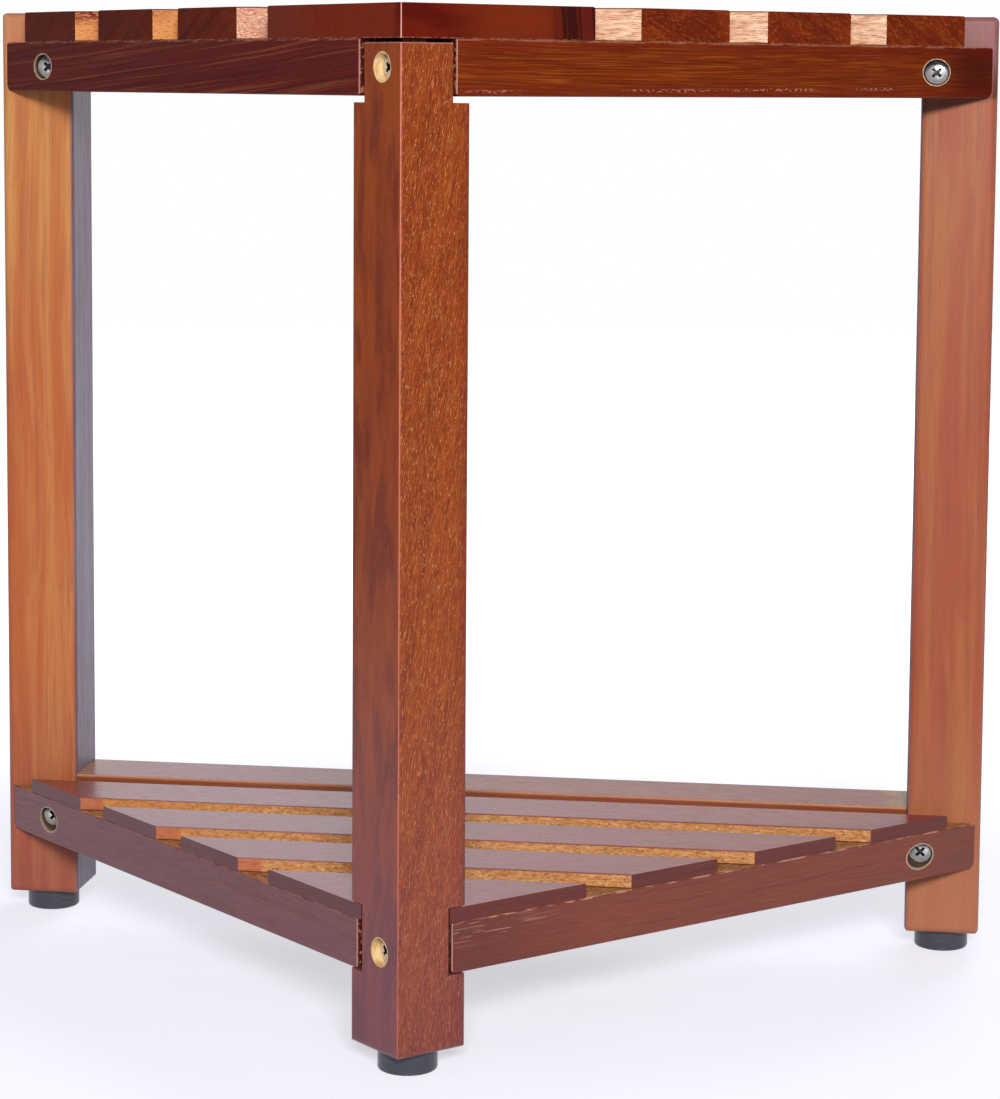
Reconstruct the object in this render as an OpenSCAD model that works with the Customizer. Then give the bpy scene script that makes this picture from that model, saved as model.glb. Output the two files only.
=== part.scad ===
// Corner shower stool: a right-angled seat and a low shelf of slats on three posts.
// The square corner post stands at the right angle. The two side legs stand at the ends
// of the long rear edge. X runs along that rear edge, Y from the corner post to the rear.

/* [Overall] */
// Height of the seat's top above the floor
seat_height = 457; // [400:1:520]
// Height of the shelf's top above the floor
shelf_height = 72.8; // [65:0.1:200]
// Distance from the corner post's arris to the side legs' front faces
leg_line = 242.5; // [235:0.5:300]

/* [Side legs] */
// Width of a side leg, along the rear edge
leg_w = 36; // [34:0.5:50]
// Depth of a side leg, from front to rear
leg_d = 37; // [32:0.5:50]
// How far a side leg stands out past the rail's outer face
leg_outset = 2.8; // [0:0.1:6]
// Rounding of a side leg's long edges and ends
leg_edge_r = 3; // [1:0.1:5]

/* [Corner post] */
// Side of the square corner post
post_w = 36.5; // [33:0.5:50]
// Side of the square core that the notches leave
post_core = 27; // [26:0.5:31]
// Rounding of the upright edge at the stool's right angle, on the post and on the seat
arris_r = 1.2; // [0.6:0.1:2]
// Rounding of the post's other long edges and its foot end
post_edge_r = 3; // [1:0.1:4]
// Rounding of the post's shoulders at the notches
post_shoulder_r = 2; // [0.5:0.1:3]
// Rounding of the post's top and of its core's long edges
post_core_r = 0.8; // [0.3:0.1:1.5]
// Space between the post's top and the underside of the seat
post_top_gap = 1.7; // [0.5:0.1:4]
// How far the upper notch's floor lies below the upper rails
notch_drop = 2.7; // [0.5:0.1:6]
// Clearance of the lower notch round the rails and the corner slat
notch_clear = 0.4; // [0.2:0.1:1]

/* [Rails] */
// Thickness of all four rails
rail_t = 22; // [18:0.5:24]
// Height of the two upper rails
upper_rail_h = 24; // [20:0.1:36]
// Height of the two lower rails
lower_rail_h = 22.3; // [19:0.1:30]
// Space between a left rail's end and the post's core
left_rail_gap = 3.4; // [0.5:0.1:5]
// Space between a right rail's end and the post's core
right_rail_gap = 1.4; // [0.5:0.1:5]
// Rounding of the lower corner at a rail's pointed outer end
rail_tip_r = 4; // [1:0.1:6]
// Rounding of the upper corner at a rail's pointed outer end
rail_top_r = 1.5; // [0.5:0.1:4]
// Rounding of the lower corner at a rail's inner end
rail_inner_r = 2; // [0.5:0.1:4]
// Rounding of a rail's long edges
rail_edge_r = 0.8; // [0.3:0.1:2]

/* [Slats] */
// Thickness of the seat's slats
seat_t = 14.5; // [13:0.1:20]
// Thickness of the shelf's slats
shelf_t = 6.5; // [5.5:0.1:12]
// Width of a slat, from front to rear
slat_w = 35.8; // [30:0.1:40]
// Gap between two slats
slat_gap = 15.9; // [8:0.1:17]
// Gap between the front slat and the corner piece
corner_gap = 18; // [8:0.1:20]
// Gap between the rear slat and the back board
back_gap = 13.4; // [4:0.1:14]
// Rounding of the long edges of the slats and back boards
slat_edge_r = 1; // [0.3:0.1:2]

/* [Back boards] */
// Height of the two back boards between the side legs
board_h = 22; // [18:0.5:30]

/* [Face screws] */
// Diameter of a face screw's shank
face_screw_d = 4; // [3.5:0.1:5]
// Diameter of a face screw's pan head
face_head_d = 11.2; // [8:0.1:11.5]
// Height of a face screw's pan head
face_head_h = 3; // [2:0.1:3.5]
// How far a screw through a rail bites into the side leg
leg_bite = 20; // [12:0.5:26]
// Distance from a rail's inner side to its screw, across the side leg's front face
leg_screw_side = 5.1; // [4:0.1:8]
// Depth of a leg screw's head below the shallow side of its slanted counterbore
leg_head_sink = 3.6; // [0.2:0.1:5]
// How far a screw through the post bites into the right-hand rail
post_bite = 14; // [10:0.5:18]
// Distance from the right-hand face to the screws through the corner post
post_screw_in = 13.5; // [11:0.1:14]
// Depth of the screw heads in the corner post
post_head_sink = 3.4; // [1:0.1:4]

/* [Slat screws] */
// Diameter of a slat screw's shank
slat_screw_d = 3.5; // [2.5:0.1:4]
// Diameter of a slat screw's head
slat_head_d = 7; // [6:0.1:8]
// Height of a slat screw's head
slat_head_h = 2.2; // [1.5:0.1:3]
// Depth of a slat screw's seat above the rail's underside
slat_bore_depth = 6; // [4:0.1:9]
// Wood left between a slat screw's hole and the top of the slat
slat_cover = 1.5; // [1:0.1:3]

/* [Dowels] */
// Diameter of the dowels between the corner post and the left-hand rails
rail_dowel_d = 6; // [5:0.5:6.5]
// Depth of those dowels in the corner post
rail_dowel_in_post = 9; // [7:0.5:9.5]
// Depth of those dowels in the rails
rail_dowel_in_rail = 18; // [14:0.5:20]
// Distance of those dowels from the rails' inner side
rail_dowel_side = 8; // [6:0.5:8.5]
// Diameter of the dowels at the ends of the back boards
board_dowel_d = 6; // [5:0.5:7]
// Depth of a back board's dowel in the leg, and in the board
board_dowel_in = 15; // [10:0.5:18]
// Distance of those dowels from the board's front and rear
board_dowel_edge = 10; // [8:0.5:12]
// Distance of those dowels below the board's top
board_dowel_down = 9; // [7:0.5:9.5]

/* [Feet] */
// Diameter of a rubber foot
foot_d = 26; // [22:0.5:30]
// Height of a rubber foot
foot_h = 10.5; // [8:0.1:14]
// Rounding of a foot's lower rim
foot_edge_r = 1.5; // [0.5:0.1:3]
// Depth of a foot screw's seat above the floor
foot_seat_h = 5.5; // [5:0.1:6]
// Length of a foot screw under its head
foot_screw_l = 22; // [16:1:30]

/* [Fits] */
// Clearance of a screw or dowel in its hole, on the radius
hole_fit = 0.05; // [0.02:0.01:0.15]
// Clearance round a screw's head in its counterbore, on the radius
head_fit = 0.4; // [0.3:0.05:1]
// Clearance past the end of a screw or dowel in a blind hole
end_fit = 0.5; // [0.2:0.1:1]

/* [Hidden] */
$fn = 64;
root2 = sqrt(2);
// How far a cut runs on past the faces that it opens
over = 1;
// A pan head's domed part and its cross recess, as shares of the head's height and diameter
crown_share = 0.3;
recess_depth = 0.6;
recess_length = 0.52;
recess_width = 0.14;
// A screw's point, as shares of its shank's diameter
point_length = 0.9;
point_width = 0.2;

leg_outer_x = leg_line + leg_outset;
leg_inner_x = leg_outer_x - leg_w;
leg_mid = [leg_inner_x + leg_w / 2, leg_line + leg_d / 2];
// The rounded arris is the stool's foremost line
front_y = arris_r * (root2 - 1);
middle_y = (front_y + leg_line + leg_d) / 2;

seat_under = seat_height - seat_t;
upper_rail_z = seat_under - upper_rail_h;
shelf_under = shelf_height - shelf_t;
lower_rail_z = shelf_under - lower_rail_h;
rail_mids = [upper_rail_z + upper_rail_h / 2, lower_rail_z + lower_rail_h / 2];
board_tops = [seat_height, shelf_height];

post_top = seat_under - post_top_gap;
upper_notch_z = upper_rail_z - notch_drop;
lower_notch_z = lower_rail_z - notch_clear;
lower_notch_top = shelf_height + notch_clear;
foot_places = [[0, post_w / root2], leg_mid, [-leg_mid[0], leg_mid[1]]];

slat_back = leg_line - back_gap;
slat_pitch = slat_w + slat_gap;
corner_back = slat_back - 2 * slat_pitch - slat_w - corner_gap;
// The corner pieces' screws stand midway between the post and the pieces' rear edges
post_clear_y = (post_w + rail_t / 2) / root2;
slat_screw_ys = concat([for (i = [0:2]) slat_back - i * slat_pitch - slat_w / 2],
                       [(post_clear_y + corner_back) / 2]);

face_hole_d = face_screw_d + 2 * hole_fit;
face_bore_d = face_head_d + 2 * head_fit;
leg_screw_x = leg_line - rail_t * root2 + leg_screw_side;
leg_head_y = leg_screw_x + face_bore_d / 2 + leg_head_sink;
leg_screw_l = leg_line + leg_bite - leg_head_y - face_head_h;
post_screw_l = post_core + right_rail_gap + post_bite - post_head_sink - face_head_h;
slat_hole_d = slat_screw_d + 2 * hole_fit;
slat_bore_d = slat_head_d + 2 * head_fit;
seat_screw_l = upper_rail_h - slat_bore_depth + seat_t - slat_cover - end_fit;
shelf_screw_l = lower_rail_h - slat_bore_depth + shelf_t - slat_cover - end_fit;

function all_four(r) = [r, r, r, r];

// The stool is drawn from the corner post's arris, and stands on the middle of its own box
module on_floor() {
    translate([0, -middle_y, 0])
        children();
}

// Turns X on to the right-hand rails and Y on to the left-hand rails
module along_rails() {
    rotate([0, 0, 45])
        children();
}

// Swaps the right-hand side for the left-hand side
module left_side() {
    mirror([1, 0, 0])
        children();
}

// What a rounded corner at the origin takes off, where way points to the inside
module corner_sliver(way, r) {
    difference() {
        translate([way[0] > 0 ? -over : -r, way[1] > 0 ? -over : -r])
            square(r + over);
        translate(way * r)
            circle(r);
    }
}

// Rectangle with its corners rounded by the four radii in r, anticlockwise from the origin
module round_rect(w, h, r) {
    corners = [[0, 0], [w, 0], [w, h], [0, h]];
    inward = [[1, 1], [-1, 1], [-1, -1], [1, -1]];
    difference() {
        square([w, h]);
        for (i = [0:3])
            if (r[i] > 0)
                translate(corners[i])
                    corner_sliver(inward[i], r[i]);
    }
}

// Upright block with rounded long edges. Its ends are rounded as both of its sides show them
module eased_block(w, d, z, h, edges, ends) {
    intersection() {
        translate([0, 0, z])
            linear_extrude(h)
                round_rect(w, d, edges);
        translate([0, d + over, z])
            rotate([90, 0, 0])
                linear_extrude(d + 2 * over)
                    round_rect(w, h, ends);
        translate([-over, 0, z])
            rotate([90, 0, 90])
                linear_extrude(w + 2 * over)
                    round_rect(d, h, ends);
    }
}

// Bar along X with rounded long edges, from x = -reach to x = reach
module eased_bar(reach, y, z, d, h, r) {
    translate([-reach, y, z])
        rotate([90, 0, 90])
            linear_extrude(2 * reach)
                round_rect(d, h, r);
}

// Screw along Z with its point up, and the outer face of its head at the origin
module pan_screw(d, l, head_d, head_h) {
    slot_w = head_d * recess_width;
    slot_l = head_d * recess_length;
    tip_l = d * point_length;
    crown = head_h * crown_share;
    crown_r = (head_d * head_d / 4 + crown * crown) / (2 * crown);
    difference() {
        intersection() {
            cylinder(d = head_d, h = head_h);
            translate([0, 0, crown_r])
                sphere(crown_r);
        }
        for (turn = [0, 90])
            rotate([0, 0, turn])
                translate([-slot_l / 2, -slot_w / 2, -over])
                    cube([slot_l, slot_w, head_h * recess_depth + over]);
    }
    translate([0, 0, head_h])
        cylinder(d = d, h = l - tip_l);
    translate([0, 0, head_h + l - tip_l])
        cylinder(d1 = d, d2 = d * point_width, h = tip_l);
}

// Hole for a screw in the same place, whose counterbore runs on below the head by clear
module screw_cut(d, l, bore_d, head_h, clear) {
    translate([0, 0, -clear])
        cylinder(d = bore_d, h = clear + head_h);
    cylinder(d = d, h = head_h + l + end_fit);
}

// Places of the screws that run through the rails of the given sides into the side legs
module at_leg_screws(sides = [0, 1]) {
    for (s = sides)
        mirror([s, 0, 0])
            for (z = rail_mids)
                translate([leg_screw_x, leg_head_y, z])
                    rotate([-90, 0, 0])
                        children();
}

// Places of the screws that run through the corner post into the right-hand rails
module at_post_screws() {
    along_rails()
        for (z = rail_mids)
            translate([post_head_sink, post_screw_in, z])
                rotate([0, 90, 0])
                    children();
}

// Places of the upright screws under one layer of slats
module at_slat_screws(rail_z, sides = [0, 1]) {
    for (s = sides)
        mirror([s, 0, 0])
            for (y = slat_screw_ys)
                translate([y - rail_t / root2, y, rail_z + slat_bore_depth - slat_head_h])
                    children();
}

module at_foot_screw(place) {
    translate([place[0], place[1], foot_seat_h - face_head_h])
        children();
}

module leg_screw_cuts(sides, clear) {
    at_leg_screws(sides)
        screw_cut(face_hole_d, leg_screw_l, face_bore_d, face_head_h, clear);
}

module post_screw_cuts() {
    at_post_screws()
        screw_cut(face_hole_d, post_screw_l, face_bore_d, face_head_h, post_head_sink + over);
}

module seat_screw_cuts(sides = [0, 1]) {
    at_slat_screws(upper_rail_z, sides)
        screw_cut(slat_hole_d, seat_screw_l, slat_bore_d, slat_head_h, slat_bore_depth);
}

module shelf_screw_cuts(sides = [0, 1]) {
    at_slat_screws(lower_rail_z, sides)
        screw_cut(slat_hole_d, shelf_screw_l, slat_bore_d, slat_head_h, slat_bore_depth);
}

module foot_screw_cut(place) {
    at_foot_screw(place)
        screw_cut(face_hole_d, foot_screw_l, face_bore_d, face_head_h, foot_seat_h);
}

// Dowels between the corner post and the left-hand rails, or their holes when fit is more than 0
module post_dowels(fit, end) {
    along_rails()
        for (z = rail_mids)
            translate([rail_t - rail_dowel_side, post_core - rail_dowel_in_post - end, z])
                rotate([-90, 0, 0])
                    cylinder(d = rail_dowel_d + 2 * fit,
                             h = rail_dowel_in_post + left_rail_gap + rail_dowel_in_rail + 2 * end);
}

// Dowels between the side legs and the back boards, or their holes when fit is more than 0
module end_dowels(fit, end) {
    for (s = [0, 1])
        mirror([s, 0, 0])
            for (top = board_tops)
                for (y = [leg_line + board_dowel_edge, leg_line + leg_d - board_dowel_edge])
                    translate([leg_inner_x - board_dowel_in - end, y, top - board_dowel_down])
                        rotate([0, 90, 0])
                            cylinder(d = board_dowel_d + 2 * fit, h = 2 * (board_dowel_in + end));
}

// Square post whose two back faces are notched, so that only its core passes the rails
module corner_leg() {
    edges = [arris_r, post_edge_r, post_edge_r, post_edge_r];
    core_edges = [arris_r, post_core_r, post_core_r, post_core_r];
    foot_ends = [post_edge_r, post_edge_r, post_shoulder_r, 0];
    middle_ends = [0, post_shoulder_r, post_shoulder_r, 0];
    core_ends = [0, 0, post_core_r, post_core_r];
    color("#7c3a24")
        on_floor()
            difference() {
                along_rails() {
                    eased_block(post_w, post_w, foot_h, lower_notch_z - foot_h, edges, foot_ends);
                    eased_block(post_w, post_w, lower_notch_top, upper_notch_z - lower_notch_top,
                                edges, middle_ends);
                    eased_block(post_core, post_core, foot_h + post_edge_r,
                                post_top - foot_h - post_edge_r, core_edges, core_ends);
                }
                post_screw_cuts();
                post_dowels(hole_fit, end_fit);
                foot_screw_cut(foot_places[0]);
            }
}

// The right-hand side leg
module side_leg() {
    difference() {
        translate([leg_inner_x, leg_line, 0])
            eased_block(leg_w, leg_d, foot_h, seat_height - foot_h,
                        all_four(leg_edge_r), all_four(leg_edge_r));
        leg_screw_cuts([0], 0);
        end_dowels(hole_fit, end_fit);
        foot_screw_cut(foot_places[1]);
    }
}

module left_leg() {
    color("#a85a34")
        on_floor()
            left_side()
                side_leg();
}

module right_leg() {
    color("#b2623f")
        on_floor()
            side_leg();
}

// Right-hand rail: square at the corner post, and mitred to lie flat on the side leg's front face
module rail_blank(z, h, gap) {
    start = post_core + gap;
    length = leg_line * root2 - start;
    intersection() {
        along_rails()
            intersection() {
                translate([start, rail_t, z])
                    rotate([90, 0, 0])
                        linear_extrude(rail_t)
                            round_rect(length, h, [rail_inner_r, rail_tip_r, rail_top_r, rail_edge_r]);
                translate([start, 0, z])
                    rotate([90, 0, 90])
                        linear_extrude(length)
                            round_rect(rail_t, h, all_four(rail_edge_r));
            }
        translate([-over, -over, z - over])
            cube([leg_line + 2 * over, leg_line + over, h + 2 * over]);
    }
}

module upper_right_rail() {
    color("#74330f")
        on_floor()
            difference() {
                rail_blank(upper_rail_z, upper_rail_h, right_rail_gap);
                leg_screw_cuts([0], leg_head_y);
                post_screw_cuts();
                seat_screw_cuts([0]);
            }
}

module lower_right_rail() {
    color("#85452f")
        on_floor()
            difference() {
                rail_blank(lower_rail_z, lower_rail_h, right_rail_gap);
                leg_screw_cuts([0], leg_head_y);
                post_screw_cuts();
                shelf_screw_cuts([0]);
            }
}

module upper_left_rail() {
    color("#4f2024")
        on_floor()
            difference() {
                left_side()
                    rail_blank(upper_rail_z, upper_rail_h, left_rail_gap);
                leg_screw_cuts([1], leg_head_y);
                post_dowels(hole_fit, end_fit);
                seat_screw_cuts([1]);
            }
}

module lower_left_rail() {
    color("#6d4a52")
        on_floor()
            difference() {
                left_side()
                    rail_blank(lower_rail_z, lower_rail_h, left_rail_gap);
                leg_screw_cuts([1], leg_head_y);
                post_dowels(hole_fit, end_fit);
                shelf_screw_cuts([1]);
            }
}

// Slat number i from the rear, whose ends carry on the rails' outer faces
module slat(i, z, t) {
    back = slat_back - i * slat_pitch;
    front = back - slat_w;
    intersection() {
        translate([0, 0, z])
            linear_extrude(t)
                polygon([[-front, front], [front, front], [back, back], [-back, back]]);
        eased_bar(leg_line, front, z, slat_w, t, all_four(slat_edge_r));
    }
}

// Right-angled piece at the corner, with its rear edges rounded and its point rounded by tip_r
module corner_blank(z, t, tip_r) {
    side = corner_back * root2;
    intersection() {
        along_rails()
            translate([0, 0, z])
                linear_extrude(t)
                    round_rect(side, side, [tip_r, 0, 0, 0]);
        eased_bar(leg_line, -over, z, corner_back + over, t, [0, slat_edge_r, slat_edge_r, 0]);
    }
}

module seat_slat(i) {
    color("#6e2415")
        on_floor()
            difference() {
                slat(i, seat_under, seat_t);
                seat_screw_cuts();
            }
}

module seat_slat_rear() {
    seat_slat(0);
}

module seat_slat_middle() {
    seat_slat(1);
}

module seat_slat_front() {
    seat_slat(2);
}

module seat_corner_piece() {
    color("#6e2415")
        on_floor()
            difference() {
                corner_blank(seat_under, seat_t, arris_r);
                seat_screw_cuts();
            }
}

module shelf_slat(i) {
    color("#8e6a68")
        on_floor()
            difference() {
                slat(i, shelf_under, shelf_t);
                shelf_screw_cuts();
            }
}

module shelf_slat_rear() {
    shelf_slat(0);
}

module shelf_slat_middle() {
    shelf_slat(1);
}

module shelf_slat_front() {
    shelf_slat(2);
}

// The shelf's corner slat is cut round the core that the post's lower notch leaves
module shelf_corner_slat() {
    cut = post_core + notch_clear;
    color("#8e6a68")
        on_floor()
            difference() {
                corner_blank(shelf_under, shelf_t, 0);
                along_rails()
                    translate([-over, -over, shelf_under - over])
                        cube([cut + over, cut + over, shelf_t + 2 * over]);
                shelf_screw_cuts();
            }
}

// Board between the side legs, level with the slats in front of it
module back_board(top) {
    difference() {
        eased_bar(leg_inner_x, leg_line, top - board_h, leg_d, board_h, all_four(slat_edge_r));
        end_dowels(hole_fit, end_fit);
    }
}

module seat_back_board() {
    color("#6e2415")
        on_floor()
            back_board(seat_height);
}

module shelf_back_board() {
    color("#a3766a")
        on_floor()
            back_board(shelf_height);
}

// Round rubber foot with a rounded lower rim, and a recess for its screw
module foot(place) {
    color("#2a2c30")
        on_floor()
            difference() {
                translate([place[0], place[1], 0])
                    rotate_extrude()
                        difference() {
                            square([foot_d / 2, foot_h]);
                            translate([foot_d / 2, 0])
                                corner_sliver([-1, 1], foot_edge_r);
                        }
                foot_screw_cut(place);
            }
}

module corner_foot() {
    foot(foot_places[0]);
}

module right_foot() {
    foot(foot_places[1]);
}

module left_foot() {
    foot(foot_places[2]);
}

module leg_screws() {
    color("#c9cbd0")
        on_floor()
            at_leg_screws()
                pan_screw(face_screw_d, leg_screw_l, face_head_d, face_head_h);
}

module post_screws() {
    color("#c9cbd0")
        on_floor()
            at_post_screws()
                pan_screw(face_screw_d, post_screw_l, face_head_d, face_head_h);
}

module seat_screws() {
    color("#b9bbbf")
        on_floor()
            at_slat_screws(upper_rail_z)
                pan_screw(slat_screw_d, seat_screw_l, slat_head_d, slat_head_h);
}

module shelf_screws() {
    color("#b9bbbf")
        on_floor()
            at_slat_screws(lower_rail_z)
                pan_screw(slat_screw_d, shelf_screw_l, slat_head_d, slat_head_h);
}

module foot_screws() {
    color("#b9bbbf")
        on_floor()
            for (place = foot_places)
                at_foot_screw(place)
                    pan_screw(face_screw_d, foot_screw_l, face_head_d, face_head_h);
}

module rail_dowels() {
    color("#d8b27a")
        on_floor()
            post_dowels(0, 0);
}

module board_dowels() {
    color("#d8b27a")
        on_floor()
            end_dowels(0, 0);
}

corner_leg();
left_leg();
right_leg();
upper_left_rail();
upper_right_rail();
lower_left_rail();
lower_right_rail();
seat_slat_rear();
seat_slat_middle();
seat_slat_front();
seat_corner_piece();
seat_back_board();
shelf_slat_rear();
shelf_slat_middle();
shelf_slat_front();
shelf_corner_slat();
shelf_back_board();
corner_foot();
left_foot();
right_foot();
leg_screws();
post_screws();
seat_screws();
shelf_screws();
foot_screws();
rail_dowels();
board_dowels();
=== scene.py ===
"""Finishes and studio for the corner shower stool, laid out as a Blender add-on.

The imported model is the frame. Every size is in metres and in the frame's own axes: X runs
along the stool's long rear edge, Y from the corner post to the rear, Z up from the floor.
"""

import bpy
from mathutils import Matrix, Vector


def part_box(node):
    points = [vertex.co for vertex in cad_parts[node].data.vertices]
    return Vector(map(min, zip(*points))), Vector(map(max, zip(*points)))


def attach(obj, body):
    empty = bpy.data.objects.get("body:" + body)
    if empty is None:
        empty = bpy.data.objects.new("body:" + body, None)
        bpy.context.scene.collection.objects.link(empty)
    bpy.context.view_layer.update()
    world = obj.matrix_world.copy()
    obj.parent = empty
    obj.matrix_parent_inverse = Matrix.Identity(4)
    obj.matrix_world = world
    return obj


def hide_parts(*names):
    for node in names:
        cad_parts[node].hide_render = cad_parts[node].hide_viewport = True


bl_info = {
    "name": "Corner shower stool",
    "version": (1, 0, 0),
    "blender": (4, 5, 0),
    "location": "View3D > Sidebar > Stool",
    "description": "Finishes a slatted corner stool and sets it in a small studio",
    "category": "Object",
}

import math

import bmesh
import bpy
from bpy.props import FloatProperty, FloatVectorProperty, PointerProperty
from mathutils import Matrix, Vector

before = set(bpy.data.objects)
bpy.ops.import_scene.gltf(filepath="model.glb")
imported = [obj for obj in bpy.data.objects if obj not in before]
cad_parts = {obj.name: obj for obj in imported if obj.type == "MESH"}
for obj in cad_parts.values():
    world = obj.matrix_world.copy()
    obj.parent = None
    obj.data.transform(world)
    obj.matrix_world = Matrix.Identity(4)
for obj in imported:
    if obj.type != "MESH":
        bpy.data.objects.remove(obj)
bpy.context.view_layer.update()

MM = 0.001
PER_MM = (1 / MM, 1 / MM, 1 / MM)
COS_45 = math.sqrt(0.5)
WHITE = "#ffffff"
# The frame gives the places of the joints and screws that the finishes follow
POST_LOW, POST_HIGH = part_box("corner_leg")
SEAT_LOW, SEAT_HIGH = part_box("seat_corner_piece")
SEAT_BOARD_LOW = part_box("seat_back_board")[0]
SHELF_BOARD_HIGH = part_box("shelf_back_board")[1]
LEG_LOW, LEG_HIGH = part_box("right_leg")
RAIL_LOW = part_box("upper_right_rail")[0]
LEG_SCREWS_LOW, LEG_SCREWS_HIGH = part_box("leg_screws")
POST_SCREWS_LOW, POST_SCREWS_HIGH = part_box("post_screws")
# The corner's sharp line, which its rounding takes back a little
ARRIS_ROUND = 1.2 * MM
ARRIS_Y = POST_LOW[1] - ARRIS_ROUND * (math.sqrt(2) - 1)
# Face screws: their heads, and the holes they are sunk in
HEAD_D = 11.2 * MM
HEAD_H = 3.0 * MM
HEAD_ROUND = 0.35 * MM
HEAD_CHAMFER = 0.2 * MM
CROWN_H = 0.9 * MM
SHANK_D = 4.0 * MM
TIP_R = 0.4 * MM
RECESS_L = 7.6 * MM
RECESS_W = 1.7 * MM
RECESS_H = 2.2 * MM
DRIVER_R = 1.178 * RECESS_W
BORE_D = 12.0 * MM
# Where the ends of the rails darken, from the stool's middle
RAIL_TIP = (0.212, 0.232)

# Turns that bring the grain on to X: upright posts and the two rail directions. On the slats it
# lies there already, and only their growth rings lean
UPRIGHT = (0.0, math.radians(90), 0.0)
RIGHT_RAIL = (0.0, 0.0, math.radians(-45))
LEFT_RAIL = (0.0, 0.0, math.radians(-135))
ACROSS = (math.radians(-32), 0.0, 0.0)
# The grain weaves in cells of 40 by 12 mm, and bows over 130 mm
WEAVE = (1 / 40, 1 / 12, 1 / 12)
BOW = (1 / 130, 0.0, 0.0)
# How far a seed moves a piece's grain in mm, and a layer's cells, so that no two are alike
GRAIN_STEP = (31.0, 47.0, 13.0)
LAYER_STEP = (7.3, 3.1, 5.7)
# Painted reflection: grey laid on the shelf's tops on the left, where they mirror the light backdrop
PAINTED_REFLECTION_GREY = "#98687c"
# Pores and torn fibres in mm, and bare wood's roughness
PORE = (9.0, 0.7, 0.7)
TORN = (2.4, 0.8, 0.8)
BARE_ROUGH = 0.85

# Studio: the paper's radius, and the camera that was fitted to the stool's edges in a 1000 by 1099
# frame, with its turns in degrees and its sensor in mm
FLOOR_R = 4.0
CAMERA_PLACE = (0.2265, -1.40622, 0.4251)
CAMERA_YAW = 8.2828
CAMERA_DOWN = 5.9708
CAMERA_ROLL = 0.4080
SENSOR = 36.0


def linear(code):
    """Turns an sRGB hex value to the linear colour that the shaders work in."""
    parts = [int(code[i:i + 2], 16) / 255 for i in (1, 3, 5)]
    return [p / 12.92 if p <= 0.04045 else ((p + 0.055) / 1.055) ** 2.4 for p in parts]


def opaque(shade):
    """A colour as a socket wants it, from a hex value or a colour property. A node stays as it is."""
    if isinstance(shade, bpy.types.Node):
        return shade
    return (*(linear(shade) if isinstance(shade, str) else shade), 1.0)


def add(tree, kind, inputs=(), **settings):
    """Adds one shader node with its settings, and fills or links its inputs, by name or in order."""
    node = tree.nodes.new("ShaderNode" + kind)
    for name, value in settings.items():
        setattr(node, name, value)
    sockets = [s for s in node.inputs if s.enabled]
    if isinstance(inputs, dict):
        sockets = [next(s for s in sockets if s.name == name) for name in inputs]
        inputs = inputs.values()
    for socket, value in zip(sockets, inputs):
        if isinstance(value, bpy.types.Node):
            value = next(s for s in value.outputs if s.enabled)
        if isinstance(value, bpy.types.NodeSocket):
            tree.links.new(value, socket)
        else:
            socket.default_value = value
    return node


def new_tree(name):
    """An empty material and its node tree."""
    material = bpy.data.materials.new(name)
    material.use_nodes = True
    material.node_tree.nodes.clear()
    return material, material.node_tree


def give(material, *nodes):
    """Puts a material in the slots of CAD nodes."""
    for name in nodes:
        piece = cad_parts[name]
        if not piece.material_slots:
            piece.data.materials.append(material)
        for slot in piece.material_slots:
            slot.material = material


# Patterns. Each adds its nodes to the tree that its first mask or space is in.


def rise(value, start, end):
    """0 before start, 1 past end, and smooth between. End may lie below start."""
    return add(value.id_data, "MapRange", [value, start, end], interpolation_type="SMOOTHSTEP")


def near(value, centre, reach, soft):
    """1 within reach of centre, fading out over soft. A negative soft gives 1 out of reach instead."""
    tree = value.id_data
    off = add(tree, "Math", [value, centre], operation="SUBTRACT")
    off = add(tree, "Math", [off], operation="ABSOLUTE")
    return rise(off, reach + soft, reach)


def millimetres(tree, turn=(0, 0, 0), wave=0.0, seed=0, bow=0.0, tilt=(0, 0, 0)):
    """Millimetres with X along the grain, which weaves by about wave mm and bows by about bow mm."""
    place = add(tree, "TexCoord").outputs["Object"]
    space = add(tree, "Mapping", {"Vector": place, "Rotation": turn, "Scale": PER_MM,
                                  "Location": [seed * step for step in GRAIN_STEP]})
    for cells, sway in ((WEAVE, wave), (BOW, bow)):
        if sway:
            slow = add(tree, "Mapping", {"Vector": space, "Scale": cells})
            drift = add(tree, "TexNoise", {"Vector": slow, "Scale": 1.0, "Detail": 0.0})
            # The noise strays from its middle by about a quarter
            drift = add(tree, "VectorMath", [drift.outputs["Color"], (0.5, 0.5, 0.5)],
                        operation="SUBTRACT")
            drift = add(tree, "VectorMath", [drift, (0.0, 4 * sway, 4 * sway)], operation="MULTIPLY")
            space = add(tree, "VectorMath", [space, drift], operation="ADD")
    return add(tree, "Mapping", {"Vector": space, "Rotation": tilt})


def strands(space, size, start, end, seed=0, detail=2.0):
    """Cells of the given size in mm (along, across and through the grain), as a 0 to 1 mask."""
    tree = space.id_data
    cells = add(tree, "Mapping", {"Vector": space, "Scale": [1 / s for s in size],
                                  "Location": [seed * step for step in LAYER_STEP]})
    noise = add(tree, "TexNoise", {"Vector": cells, "Scale": 1.0, "Detail": detail, "Roughness": 0.55})
    return rise(noise.outputs["Fac"], start, end)


def over(tone, mask, shade, *shares):
    """Lays a shade over a tone as far as a mask and its shares say. A share may be a mask too."""
    tree = mask.id_data
    for share in shares:
        mask = add(tree, "Math", [mask, share], operation="MULTIPLY")
    return add(tree, "Mix", {"Factor": mask, "A": opaque(tone), "B": opaque(shade)}, data_type="RGBA")


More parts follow.
